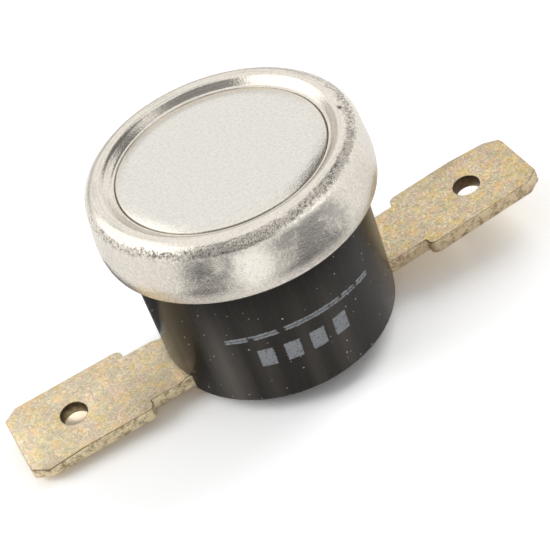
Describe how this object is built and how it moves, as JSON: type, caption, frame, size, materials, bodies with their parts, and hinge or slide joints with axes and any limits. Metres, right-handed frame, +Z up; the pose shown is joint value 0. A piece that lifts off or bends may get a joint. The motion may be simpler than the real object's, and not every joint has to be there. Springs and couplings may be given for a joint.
{
  "type": "bimetal thermostat",
  "caption": "Round snap-disc bimetal switch with a bright rolled metal cap, a black moulded body and flat blade terminals with detent holes.",
  "frame": {"origin": "centre of the flat base, on the body's axis", "axes": "+X along the blades towards the spring arm's terminal, +Z up the body's axis towards the sensing face"},
  "size_m": [0.0306, 0.0146, 0.0113],
  "materials": {
    "cap_metal": "satin, rolled, with tooling marks on the shoulder",
    "body_phenolic": "moulded, satin gloss",
    "terminal_plate": "yellow passivated, mottled",
    "rivet_metal": "satin",
    "bracket_brass": "satin",
    "spring_bronze": "satin",
    "contact_silver": "polished",
    "disc_bimetal": "satin, rolled",
    "guide_phenolic": "moulded, matte",
    "pin_ceramic": "matte"
  },
  "bodies": {
    "switch_body": {"housing": "body_phenolic", "cap": "cap_metal", "bimetal_disc": "disc_bimetal", "guide_plate": "guide_phenolic", "fixed_terminal": "terminal_plate", "arm_terminal": "terminal_plate", "terminal_rivets": "rivet_metal", "fixed_bracket": "bracket_brass", "arm_bracket": "bracket_brass", "arm_rivet": "rivet_metal", "fixed_contact": "contact_silver"},
    "pin_body": {"transfer_pin": "pin_ceramic"},
    "arm_body": {"contact_arm": "spring_bronze", "moving_contact": "contact_silver"}
  },
  "joints": [
    {"name": "pin_slide", "type": "slide", "parent": "switch_body", "child": "pin_body", "axis": [0, 0, -1], "range_m": [0, 0.0003], "deforming": ["bimetal_disc"]},
    {"name": "arm_flex", "type": "hinge", "parent": "switch_body", "child": "arm_body", "pos_m": [0.0026, 0, 0.00419], "axis": [0, -1, 0], "range_deg": [0, 6.8], "stiffness_Nm_per_rad": 0.02, "deforming": ["contact_arm"]}
  ],
  "couplings": [
    {"joint": "arm_flex", "follows": "pin_slide", "rad_per_m": 384.6}
  ]
}
